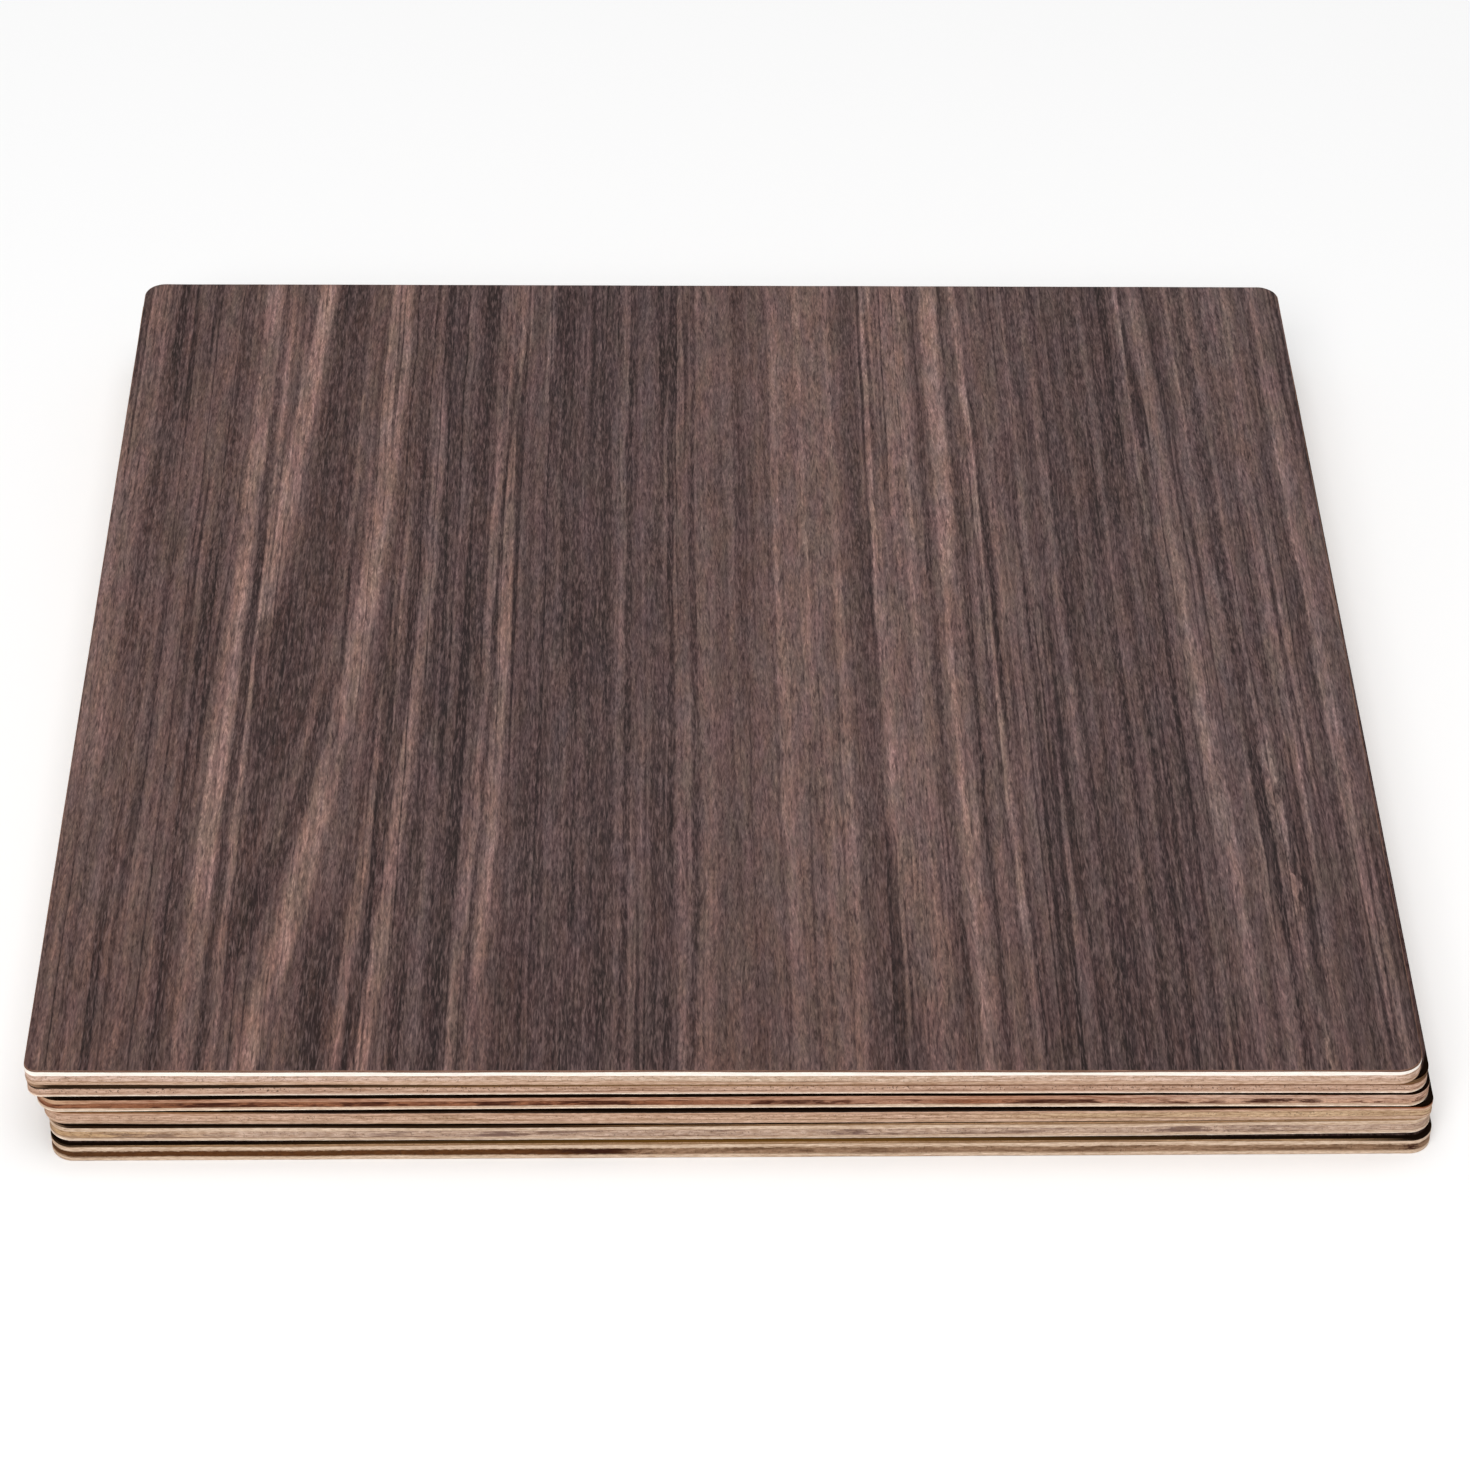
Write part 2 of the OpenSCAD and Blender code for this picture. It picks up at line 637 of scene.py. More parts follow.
    def ramp(self, value: Socket, stops: Stops) -> Socket:
        """Turn a value into a colour by stops from 0 to 1.

        Args:
            value: the value.
            stops: places and their colours, in order.

        Returns:
            The colour.
        """
        made = self.node("ValToRGB", {"Fac": value})
        points = made.color_ramp.elements
        while len(points) > len(stops):
            points.remove(points[-1])
        while len(points) < len(stops):
            points.new(0.5)
        for point, (place, colour) in zip(points, stops):
            point.position = place
            point.color = (*colour, 1.0)
        return made.outputs[0]


class Surface(Wiring):
    """The wiring of a new material, with its shader."""

    def __init__(self, name: str) -> None:
        """Start the material.

        Args:
            name: its name.
        """
        self.material = bpy.data.materials.new(name)
        self.material.use_nodes = True
        super().__init__(self.material.node_tree)
        self.shader = self.tree.nodes["Principled BSDF"]

    def place(self) -> Socket:
        """The place on the piece, in Object coordinates."""
        return self.node("TexCoord").outputs["Object"]

    def mark(self, name: str) -> Socket:
        """A value that the piece's points carry, by the name of its attribute."""
        return self.node("Attribute", attribute_name=name).outputs["Fac"]

    def join(self, values: dict[str, object]) -> None:
        """Link or set the shader's own sockets, by name."""
        for name, value in values.items():
            self.feed(self.shader.inputs[name], value)

    def wood(
        self, colour: Socket, rough: Socket, sheen: float, height: Socket, relief: Pair
    ) -> bpy.types.Material:
        """Join a wood finish to the shader.

        Args:
            colour, rough: the finish's colour and roughness.
            sheen: its specular level, the same all over.
            height: the height of its grain.
            relief: how strong the grain's relief is, and how deep.

        Returns:
            The material.
        """
        strength, depth = relief
        bump = self.node("Bump", {"Height": height, "Strength": strength, "Distance": depth})
        self.join({"Base Color": colour, "Roughness": rough, "Normal": bump.outputs[0]})
        self.shader.inputs["Specular IOR Level"].default_value = sheen
        return self.material


def new_group(
    name: str, inputs: tuple[str, ...], outputs: tuple[str, ...]
) -> tuple[Wiring, dict[str, Socket], bpy.types.bpy_prop_collection]:
    """Start a shader node group whose sockets are all plain numbers but for Place.

    Args:
        name: the group's name.
        inputs, outputs: the sockets' names.

    Returns:
        The wiring, and the inner ends of the inputs and of the outputs by name.
    """
    tree = bpy.data.node_groups.new(name, "ShaderNodeTree")
    for names, way in ((inputs, "INPUT"), (outputs, "OUTPUT")):
        for socket in names:
            kind = "NodeSocketVector" if socket == "Place" else "NodeSocketFloat"
            tree.interface.new_socket(name=socket, in_out=way, socket_type=kind)
    start, end = (tree.nodes.new("NodeGroup" + way) for way in ("Input", "Output"))
    return Wiring(tree), {socket: start.outputs[socket] for socket in inputs}, end.inputs


class Effects:
    """The node groups that the finishes share."""

    def __init__(self) -> None:
        """Build each group once."""
        self.edge = self._edge_grain()
        self.long = self._long_grain()
        self.streak = self._figure_streak()

    @staticmethod
    def _edge_grain() -> bpy.types.NodeTree:
        """Build the grain of a sawn layer edge.

        Streaks run round the sheet and are thin in height, patches are long and take in
        most of the layer, pores are dark dots of end grain, and fuzz is a fine speckle.

        Returns:
            The group.
        """
        w, given, out = new_group(
            "sawn_edge_grain", ("Place", "Rise", "Run", "Rows", "Seed"),
            ("Streaks", "Patches", "Pores", "Fuzz"))
        x, y, _ = w.axes(given["Place"])
        parts, seed = (x, y, given["Rise"]), given["Seed"]
        per = w.math("DIVIDE", 1.0, given["Run"])
        slow = w.times(per, 0.35)
        streaks = w.noise(parts, (per, per, given["Rows"]), seed, 4.0, 0.6)
        patches = w.noise(parts, (slow, slow, 0.8), seed, 2.0)
        pores = w.noise(parts, (3600.0, 3600.0, 3.2), seed)
        w.feed(out["Streaks"], w.step(streaks, 0.42, 0.6))
        w.feed(out["Patches"], w.step(patches, 0.44, 0.58))
        w.feed(out["Pores"], w.step(pores, 0.60, 0.70))
        w.feed(out["Fuzz"], w.noise(parts, (900.0, 900.0, 5.0), seed, 4.0, 0.65))
        return w.tree

    @staticmethod
    def _long_grain() -> bpy.types.NodeTree:
        """Build the grain of a planed face, which runs along one way.

        Bands are a few millimetres wide and as long as the sheet. Lines are thinner, with
        dark hairlines where a stretched noise crosses its middle. Fibres are fine dashes with
        specks among them, pores are dark dashes and flecks are light hairs; these slip along
        the grain by a noise across it, so that their ends don't line up.

        Returns:
            The group; Across and Along are places across and along the grain.
        """
        slip_reach, fibre_share, speck_share = 9 * MM, 0.85, 0.7
        w, given, out = new_group(
            "planed_face_grain", ("Across", "Along", "Seed"),
            ("Bands", "Lines", "Hairlines", "Fibres", "Pores", "Flecks"))
        across, length, seed = parts = tuple(given.values())
        broad = w.noise(parts, (900.0, 6.0, 2.0), seed, 2.0)
        thin = w.noise(parts, (2200.0, 30.0, 3.0), seed, 2.0)
        hair = w.noise(parts, (420.0, 4.0, 7.0), seed)
        where = w.noise(parts, (110.0, 9.0, 8.0), seed)
        slip = w.noise(parts, (1500.0, 20.0, 9.0), seed, 2.0, 0.6)
        slid = (across, w.scaled(slip, slip_reach, length), seed)
        fibres = w.noise(slid, (2400.0, 520.0, 4.0), seed, 3.0, 0.8)
        specks = w.noise(slid, (2800.0, 1100.0, 10.0), seed)
        specks = w.sway((1 - fibre_share) / 2, specks, speck_share)
        pores = w.noise(slid, (2700.0, 280.0, 5.0), seed)
        flecks = w.noise(slid, (3000.0, 380.0, 6.0), seed, 2.0, 0.6)
        crossing = w.step(w.apart(hair, 0.5), 0.05, 0.012)
        w.feed(out["Bands"], w.noise(parts, (240.0, 2.0, 1.0), seed, 3.0, 0.6))
        w.feed(out["Lines"], w.times(w.math("ADD", broad, thin), 0.5))
        w.feed(out["Hairlines"], w.times(crossing, w.step(where, 0.42, 0.56)))
        w.feed(out["Fibres"], w.scaled(fibres, fibre_share, specks))
        w.feed(out["Pores"], w.step(pores, 0.54, 0.70))
        w.feed(out["Flecks"], w.step(flecks, 0.45, 0.75))
        return w.tree

    @staticmethod
    def _figure_streak() -> bpy.types.NodeTree:
        """Build one streak of a walnut's figure, which lifts or drops the tone it is given.

        The streak's middle line is a parabola in Down, the share of the way from the back
        edge to the front, and its half width changes evenly. The lift is full in the inner
        part, falls off smoothly to both sides and fades past both ends.

        Returns:
            The group.
        """
        least_half, outer, inner, fade = 0.05 * MM, 1.2, 0.6, 0.1
        w, given, out = new_group(
            "walnut_figure_streak",
            ("Tone", "Across", "Down", "Start", "Lean", "Curve", "Half", "Spread", "Lift",
             "From", "Until"),
            ("Tone",))
        down, begin, end = given["Down"], given["From"], given["Until"]
        lean = w.scaled(given["Curve"], down, given["Lean"])
        line = w.scaled(lean, down, given["Start"])
        half = w.math("MAXIMUM", w.scaled(given["Spread"], down, given["Half"]), least_half)
        off = w.math("DIVIDE", w.apart(given["Across"], line), half)
        begun = w.step(down, w.math("SUBTRACT", begin, fade), begin)
        left = w.step(down, w.math("ADD", end, fade), end)
        share = w.times(w.times(begun, left), w.step(off, outer, inner))
        w.feed(out["Tone"], w.scaled(share, given["Lift"], given["Tone"]))
        return w.tree


# Finishes


def along(wiring: Wiring, x: Socket, stops: Stops, span: float = 220.0) -> Socket:
    """Give the colour at a place along X.

    Args:
        wiring: the material's wiring.
        x: the place.
        stops: places in millimetres from the stack's middle and their colours, in order.
        span: the length in millimetres that the colour ramp stands for.

    Returns:
        The colour.
    """
    share = wiring.scaled(x, 1 / (span * MM), 0.5)
    return wiring.ramp(share, tuple((place / span + 0.5, colour) for place, colour in stops))


@dataclass(frozen=True)
class EdgeFinish:
    """The sawn edge of one layer.

    The wood is given by stops along X in millimetres from the stack's middle, since a layer
    is pieced from strips, and so is the crest, a colour along the layer's upper rim. On some
    layers the stops and the crest are painted shade, near black where the layer lies in a gap
    or under an overhang of the sheet above. The lip is of pale torn fibres along its lower rim.
    Both end at a torn line that eases over a share of the layer. Stains are dark patches, each
    given by its place along X and its half length. All is multiplied by a fine speckle from dim
    to lit.
    """

    wood: Stops
    streak: Colour
    streak_share: float = 0.7
    run: float = 9 * MM
    rows: float = 3.0
    pore_share: float = 0.4
    glue_share: float = 0.25
    sheen: float = 0.06
    dim: Colour = (0.66, 0.57, 0.49)
    lit: Colour = (1.15, 1.15, 1.14)
    crest: Stops = ()
    crest_share: float = 0.3
    lip: Colour | None = None
    lip_share: float = 0.45
    stains: tuple[Pair, ...] = ()
    stain: Colour = paint(60, 27, 17)
    stain_ragged: float = 0.7
    stain_core: float = 0.1
    pore: Colour = paint(60, 40, 28)
    side_pores: float = 0.2
    glue: Colour = paint(104, 72, 44)
    glue_range: Pair = (0.4, 2.0)
    patch_range: Pair = (0.4, 1.0)
    strip_stray: float = 6 * MM
    tear: float = 0.4
    tear_ease: float = 0.1
    rough: Pair = (0.7, 0.9)
    streak_height: float = 0.5
    relief: Pair = (0.6, 0.06 * MM)

    def by_rim(self, wiring: Wiring, depth: Socket, share: float) -> Socket:
        """Ease to 1 where a depth from a rim is less than a share of the layer."""
        return wiring.step(depth, share + self.tear_ease, share - self.tear_ease)

    def make(self, name: str, effects: Effects, seed: float) -> bpy.types.Material:
        """Build the material.

        End grain, where the attribute says so, carries the pores; glue darkens both rims.

        Args:
            name: the material's name.
            effects: the shared node groups.
            seed: a number that moves the pattern to another place.

        Returns:
            The material.
        """
        w = Surface(name)
        place, rise = w.place(), w.mark("rise")
        grain = w.group(effects.edge, {
            "Place": place, "Rise": rise, "Run": self.run, "Rows": self.rows, "Seed": seed})
        fuzz = grain["Fuzz"]
        x = w.sway(w.axes(place)[0], fuzz, self.strip_stray)
        share = w.times(w.between(grain["Patches"], *self.patch_range), grain["Streaks"])
        share = w.times(share, self.streak_share)
        colour = w.blend(share, along(w, x, self.wood), self.streak)
        middle = w.apart(rise, 0.5)
        for spot, half in self.stains:
            reach = half * MM
            off = w.scaled(grain["Streaks"], -self.stain_ragged * reach, w.apart(x, spot * MM))
            near = w.step(off, reach, self.stain_core * reach)
            deep = w.times(w.step(middle, 0.5, 0.3), w.step(fuzz, 0.3, 0.58, (0.4, 1.0)))
            colour = w.blend(w.times(near, deep), colour, self.stain)
        torn = w.sway(rise, fuzz, self.tear)
        if self.lip:
            colour = w.blend(self.by_rim(w, torn, self.lip_share), colour, self.lip)
        # the crest: on some layers painted shade along the upper rim, under the sheet above
        if self.crest:
            near = self.by_rim(w, w.math("SUBTRACT", 1.0, torn), self.crest_share)
            colour = w.blend(near, colour, along(w, x, self.crest))
        pores = w.times(grain["Pores"], w.between(w.mark("end_grain"), self.side_pores, 1.0))
        colour = w.blend(w.times(pores, self.pore_share), colour, self.pore)
        glue = w.times(w.step(middle, 0.36, 0.5), w.between(grain["Patches"], *self.glue_range))
        colour = w.blend(w.times(glue, self.glue_share), colour, self.glue)
        colour = w.tinted(colour, w.blend(w.step(fuzz, 0.28, 0.72), self.dim, self.lit))
        height = w.scaled(grain["Streaks"], self.streak_height, fuzz)
        return w.wood(colour, w.between(fuzz, *self.rough), self.sheen, height, self.relief)


@dataclass(frozen=True)
class Streak:
    """A streak of the figure: its line from back to front, half widths, lift and extent.

    Places are millimetres from the sheet's left edge, and the extent is a share of the
    way from the back edge to the front.
    """

    back: float
    middle: float
    front: float
    half_back: float
    half_front: float
    lift: float
    begin: float = -0.2
    end: float = 1.2

    @property
    def inputs(self) -> dict[str, float]:
        """Give what the figure's node group takes, with a parabola through the three places.

        Returns:
            The values, by the name of the input.
        """
        lengths = {
            "Start": self.back,
            "Lean": 4 * self.middle - 3 * self.back - self.front,
            "Curve": 2 * self.back - 4 * self.middle + 2 * self.front,
            "Half": self.half_back,
            "Spread": self.half_front - self.half_back,
        }
        shares = {"Lift": self.lift, "From": self.begin, "Until": self.end}
        return {name: length * MM for name, length in lengths.items()} | shares


@dataclass(frozen=True)
class WalnutFinish:
    """The planed walnut face: a figure of long streaks, growth lines, fibres and pores.

    Its hue strays by a share to red and to blue, on top of zones along X that lean warm or
    cool, in millimetres from the stack's middle, and it darkens to the front. The calm strips
    and the torn one are given by their middle and half width in millimetres from the left
    edge. The first have fainter growth lines, and the last frayed streaks. A weight is how
    much a part of the grain changes the tone. Pores are deeper in bright wood, and flecks
    plainer in dark wood.
    """

    base_tone: float = 0.442
    contrast: float = 1.15
    stray: float = 0.7 * MM
    curl: float = 0.3 * MM
    rag: float = 0.32 * MM
    # painted shade: the colour along X that a covered veneer's rim is darkened to, in the gap under
    # the sheet above
    shade_colour: Stops = plain(18, 9, 4)
    hair: Colour = paint(149, 121, 117)
    hue: float = 0.075
    zones: Stops = (
        (-52.0, (1.03, 1.0, 0.98)), (-45.0, (0.965, 1.0, 1.045)), (-36.0, (1.015, 1.0, 0.995)),
        (-28.0, (0.965, 1.0, 1.045)), (-12.0, (0.965, 1.0, 1.045)), (-4.0, (1.005, 1.0, 0.995)),
        (38.0, (1.005, 1.0, 0.995)), (54.0, (0.965, 1.0, 1.035)),
    )
    front: Colour = (0.85, 0.80, 0.775)
    front_extent: Pair = (0.68, 1.05)
    sheen: float = 0.2
    rough: Pair = (0.5, 0.7)
    relief: Pair = (0.5, 0.05 * MM)
    fibre_height: float = 0.6
    calm: tuple[Pair, ...] = ((110.0, 11.0), (137.5, 1.2))
    calm_share: float = 0.45
    torn: Pair = (180.0, 7.0)
    strip_ease: float = 4.0
    patchy: Pair = (0.72, 1.28)
    band_weight: float = 0.36
    fibre_weight: float = 0.9
    pore_weight: float = 0.14
    hairline_weight: float = 0.3
    fleck_share: float = 0.36
    pore_ease: Ease = (0.4, 0.6, (0.6, 1.6))
    fleck_ease: Ease = (0.52, 0.3, (0.35, 1.0))
    # how the painted shade on the rim eases in
    shade_extent: Pair = (0.45, 0.65)
    tones: Stops = strips(
        (0.0, 38, 26, 25), (0.25, 64, 47, 45), (0.5, 95, 75, 71), (0.75, 128, 102, 95),
        (1.0, 170, 137, 128))
    figure: tuple[Streak, ...] = tuple(Streak(*row) for row in (
        (2.5, 2.3, 2.0, 3.0, 2.5, 0.09, -0.2, 0.60), (6.8, 6.0, 5.6, 1.5, 1.2, -0.15, -0.2, 0.50),
        (5.2, 4.9, 4.8, 0.5, 0.5, -0.14, 0.75, 1.2), (8.6, 8.6, 8.4, 1.0, 1.0, -0.15),
        (19.0, 18.4, 18.0, 1.2, 1.2, -0.14), (23.3, 22.8, 21.7, 1.7, 1.5, 0.17),
        (25.1, 25.2, 24.7, 0.6, 0.6, -0.11), (26.5, 26.5, 26.3, 0.5, 0.6, 0.18, 0.10, 1.2),
        (32.8, 27.2, 24.6, 1.7, 2.0, 0.26, -0.2, 0.44),
        (37.4, 34.4, 27.0, 3.4, 4.6, -0.19, 0.02, 0.38),
        (37.0, 33.4, 25.6, 11.0, 0.2, -0.19, 0.48, 0.84),
        (32.4, 38.5, 16.1, 0.8, 1.2, 0.12, 0.52, 0.74),
        (15.7, 38.2, 20.7, 1.0, 1.5, -0.20, 0.62, 0.84),
        (38.8, 37.6, 33.0, 0.5, 0.5, 0.14, 0.10, 0.50),
        (40.6, 39.0, 34.0, 0.4, 0.4, 0.12, 0.10, 0.36), (45.4, 42.8, 31.3, 1.9, 2.1, 0.22),
        (49.4, 48.4, 41.0, 2.2, 2.4, -0.14), (43.0, 42.0, 39.8, 2.0, 2.4, -0.22, 0.90, 1.2),
        (49.0, 48.1, 43.6, 0.8, 1.0, 0.26, 0.42, 1.2),
        (54.2, 52.6, 47.8, 0.7, 1.4, 0.22, 0.18, 1.2),
        (52.4, 50.8, 45.8, 0.7, 0.9, -0.18, 0.30, 1.2), (57.4, 56.4, 55.0, 5.2, 5.0, -0.13),
        (56.0, 54.8, 52.4, 0.7, 0.8, -0.12), (58.3, 57.0, 53.8, 0.7, 0.8, 0.08),
        (61.8, 60.2, 57.6, 1.4, 1.3, -0.15), (65.2, 63.2, 60.4, 0.9, 0.8, 0.17),
        (66.2, 64.2, 62.0, 0.3, 0.4, -0.18, 0.30, 1.2), (67.4, 65.8, 63.8, 1.3, 0.9, 0.17),
        (71.8, 71.4, 71.0, 0.5, 0.4, 0.17, -0.2, 0.15),
        (73.2, 72.6, 71.6, 0.9, 0.4, -0.15, -0.2, 0.22), (77.5, 76.0, 75.0, 5.0, 8.6, -0.13),
        (78.2, 77.8, 77.4, 0.6, 0.8, -0.11, 0.45, 1.2),
        (78.8, 78.8, 79.0, 0.9, 0.5, 0.14, -0.2, 0.40),
        (81.6, 81.4, 80.6, 0.6, 0.6, -0.16, 0.20, 0.48),
        (71.6, 71.4, 71.2, 0.3, 0.6, 0.12, 0.82, 1.2), (83.0, 82.8, 82.2, 1.4, 1.4, -0.15),
        (86.0, 85.6, 85.0, 0.5, 0.7, -0.24), (90.5, 90.3, 90.0, 1.3, 1.4, -0.16),
        (93.0, 92.4, 91.6, 0.5, 0.6, -0.24), (94.0, 93.9, 93.8, 0.6, 0.5, 0.08),
        (96.2, 96.0, 95.2, 0.5, 0.6, -0.18), (98.2, 98.1, 97.4, 1.6, 1.6, 0.07),
        (103.4, 103.6, 103.0, 0.8, 0.5, -0.12, -0.2, 0.60), (106.0, 106.2, 106.2, 2.8, 2.2, -0.10),
        (108.6, 108.9, 109.2, 0.6, 0.5, -0.17), (113.0, 113.5, 112.0, 11.0, 11.0, 0.085),
        (110.4, 110.4, 110.2, 0.9, 0.9, 0.06, 0.10, 0.85),
        (114.2, 114.2, 113.8, 0.8, 0.8, 0.13, -0.2, 0.60), (119.4, 119.4, 119.6, 0.8, 0.8, 0.08),
        (120.4, 120.8, 121.2, 0.4, 0.4, -0.10), (122.9, 122.9, 123.4, 1.5, 1.6, -0.16),
        (130.0, 129.4, 130.4, 5.0, 4.0, 0.14), (126.5, 126.4, 127.2, 1.0, 0.9, 0.10, -0.2, 0.80),
        (134.4, 134.6, 135.2, 0.7, 0.6, -0.15), (137.5, 137.6, 137.7, 1.7, 1.3, 0.24),
        (139.6, 140.0, 140.1, 0.3, 0.5, -0.16), (141.2, 141.4, 141.6, 0.8, 0.7, 0.08),
        (142.0, 143.4, 144.6, 0.6, 0.6, 0.24, -0.2, 0.80),
        (141.2, 142.5, 143.6, 0.3, 0.4, -0.14, 0.25, 1.2), (143.0, 144.5, 145.7, 0.4, 0.4, -0.16),
        (146.0, 146.0, 146.4, 0.7, 0.6, 0.11, -0.2, 0.45), (158.6, 159.6, 159.0, 11.0, 11.0, -0.08),
        (149.0, 149.8, 150.8, 0.4, 0.4, -0.14), (150.2, 150.6, 151.0, 0.5, 0.5, 0.14, -0.2, 0.36),
        (151.5, 151.7, 152.2, 1.1, 1.2, 0.15, 0.44, 0.90),
        (154.2, 154.8, 155.4, 0.8, 0.7, 0.17, -0.2, 0.60), (155.9, 156.3, 157.5, 0.35, 0.4, -0.14),
        (158.0, 158.2, 158.4, 0.7, 0.7, 0.09, -0.2, 0.75), (163.0, 163.2, 163.6, 0.7, 0.8, -0.13),
        (166.2, 166.4, 167.0, 0.5, 0.6, -0.13), (169.6, 169.6, 169.4, 1.6, 1.6, -0.08),
        (172.8, 175.2, 177.6, 1.6, 1.5, 0.06), (173.8, 175.4, 177.2, 1.2, 1.2, 0.07, 0.44, 1.2),
        (171.2, 171.6, 174.6, 0.7, 0.5, 0.24, -0.2, 0.34),
        (169.8, 171.6, 174.4, 0.8, 1.6, -0.08, 0.36, 1.2), (182.0, 182.6, 183.4, 0.7, 0.8, -0.19),
        (180.2, 180.6, 181.0, 0.5, 0.5, 0.10), (183.0, 183.8, 186.6, 0.5, 0.6, 0.18, 0.62, 1.2),
        (186.0, 186.2, 186.0, 0.5, 0.5, -0.12), (188.6, 188.6, 188.2, 1.0, 1.0, 0.11),
        (190.4, 190.6, 190.0, 0.8, 0.8, 0.19, -0.2, 0.65), (194.0, 194.2, 194.0, 0.5, 0.8, -0.13),
        (195.8, 196.0, 197.2, 1.2, 1.6, 0.14),
    ))

    def strip(self, wiring: Wiring, across: Socket, extent: Pair, to: Pair) -> Socket:
        """Ease from one value inside a strip to another outside it.

        Args:
            wiring: the material's wiring.
            across: the place across the grain.
            extent: the strip's middle and half width, in millimetres.
            to: the values inside and outside.

        Returns:
            The value.
        """
        middle, half = extent
        off = wiring.apart(across, middle * MM)
        return wiring.step(off, half * MM, (half + self.strip_ease) * MM, to)

    def make(self, name: str, effects: Effects, seed: float, plan: Plan) -> bpy.types.Material:
        """Build the material.

        The figure's lines are frayed by a noise along the grain. Where the attribute says
        so, the rim is painted shade: darkened where it lies in the gap under the sheet above.

        Args:
            name: the material's name.
            effects: the shared node groups.
            seed: a number that moves the fine pattern to another place.
            plan: the outline of the sheet whose left edge the figure is measured from.

        Returns:
            The material.
        """
        w = Surface(name)
        axes = x, y, z = w.axes(w.place())
        left = float(plan.centre[0]) - plan.width / 2
        drift = w.noise(axes, (22.0, 9.0, 0.0), seed, 1.0, 0.4)
        wave = w.noise(axes, (130.0, 60.0, 0.0), seed + 2.0)
        ragged = w.noise(axes, (1300.0, 85.0, 0.0), seed, 3.0, 0.6)
        tear = w.noise(axes, (420.0, 190.0, 0.0), seed + 4.0, 3.0, 0.65)
        across = w.sway(w.math("SUBTRACT", x, left), drift, 2 * self.stray)
        across = w.sway(across, wave, 2 * self.curl)
        wild = w.times(self.strip(w, across, self.torn, (1.0, 0.0)), 12 * self.rag)
        frayed = w.sway(w.sway(across, ragged, 4 * self.rag), tear, wild)
        down = w.scaled(y, -1 / plan.depth, 0.5)
        tone: object = self.base_tone
        for streak in self.figure:
            lie = {"Tone": tone, "Across": frayed, "Down": down}
            tone = w.group(effects.streak, lie | streak.inputs)["Tone"]
        grown = (across, y, z)
        patchy = w.noise(grown, (260.0, 55.0, 0.0), seed + 3.0, 3.0, 0.6)
        patchy = w.step(patchy, 0.3, 0.7, tuple(share * self.contrast for share in self.patchy))
        tone = w.scaled(w.math("SUBTRACT", tone, self.base_tone), patchy, self.base_tone)
        dark, bright = w.step(tone, *self.fleck_ease), w.step(tone, *self.pore_ease)
        grain = w.group(effects.long, {"Across": across, "Along": y, "Seed": seed})
        lively: object = 1.0
        for extent in self.calm:
            faint = self.strip(w, across, extent, (self.calm_share, 1.0))
            lively = w.math("MINIMUM", lively, faint)
        weights = {"Bands": self.band_weight, "Lines": lively, "Fibres": self.fibre_weight}
        for mask, weight in weights.items():
            tone = w.sway(tone, grain[mask], weight)
        tone = w.scaled(w.times(grain["Pores"], bright), -self.pore_weight, tone)
        tone = w.scaled(w.times(grain["Hairlines"], lively), -self.hairline_weight, tone)
        red, blue = (
            w.step(w.noise(grown, (380.0, 80.0, 0.0), seed + shift, 4.0, 0.6), 0.3, 0.7,
                   (1 - self.hue, 1 + self.hue))
            for shift in (5.0, 9.0))
        tint = w.node("CombineXYZ", {0: red, 1: 1.0, 2: blue}).outputs[0]
        colour = w.tinted(w.tinted(w.ramp(tone, self.tones), tint), along(w, x, self.zones))
        nearer = w.step(down, *self.front_extent)
        colour = w.blend(nearer, colour, w.tinted(colour, self.front))
        flecks = w.times(w.times(grain["Flecks"], dark), self.fleck_share)
        colour = w.blend(flecks, colour, self.hair)
        # painted shade on the rim of a covered veneer, where it lies in the gap under the sheet
        # above
        gap_shade = w.step(w.mark("gap_shade"), *self.shade_extent)
        colour = w.blend(gap_shade, colour, along(w, x, self.shade_colour))
        rough = w.between(grain["Fibres"], *self.rough)
        height = w.scaled(grain["Pores"], -1.0, w.times(grain["Fibres"], self.fibre_height))
        return w.wood(colour, rough, self.sheen, height, self.relief)


@dataclass(frozen=True)
class BackFinish:
    """The planed underside of a sheet: pale wood with soft bands and short pores."""

    pale: Colour = paint(222, 200, 176)
    deep: Colour = paint(188, 158, 130)
    pore: Colour = (0.25, 0.16, 0.1)
    pore_share: float = 0.35
    fibre_share: float = 0.25
    stray: float = 12 * MM
    sheen: float = 0.3
    rough: Pair = (0.6, 0.8)
    relief: Pair = (0.5, 0.05 * MM)

    def make(self, name: str, effects: Effects, seed: float) -> bpy.types.Material:
        """Build the material.

        Args:
            name: the material's name.
            effects: the shared node groups.
            seed: a number that moves the pattern to another place.

        Returns:
            The material.
        """
        w = Surface(name)
        axes = x, y, _ = w.axes(w.place())
        drift = w.noise(axes, (9.0, 22.0, 0.0), seed, 1.0, 0.4)
        across = w.sway(y, drift, self.stray)
        grain = w.group(effects.long, {"Across": across, "Along": x, "Seed": seed})
        colour = w.blend(w.step(grain["Bands"], 0.32, 0.72), self.pale, self.deep)
        colour = w.blend(w.times(grain["Pores"], self.pore_share), colour, self.pore)
        colour = w.blend(w.times(grain["Fibres"], self.fibre_share), colour, self.deep)
        rough = w.between(grain["Fibres"], *self.rough)
        height = w.scaled(grain["Pores"], -1.0, grain["Fibres"])
        return w.wood(colour, rough, self.sheen, height, self.relief)


# The stack


@dataclass(frozen=True)
class Trim:
    """How a layer's edge is worked: set back, eased at its lower and upper rim, and rough."""

    set_back: float = 0.0
    ease_low: float = 0.0
    ease_high: float = 0.0
    rough: float = 0.02 * MM


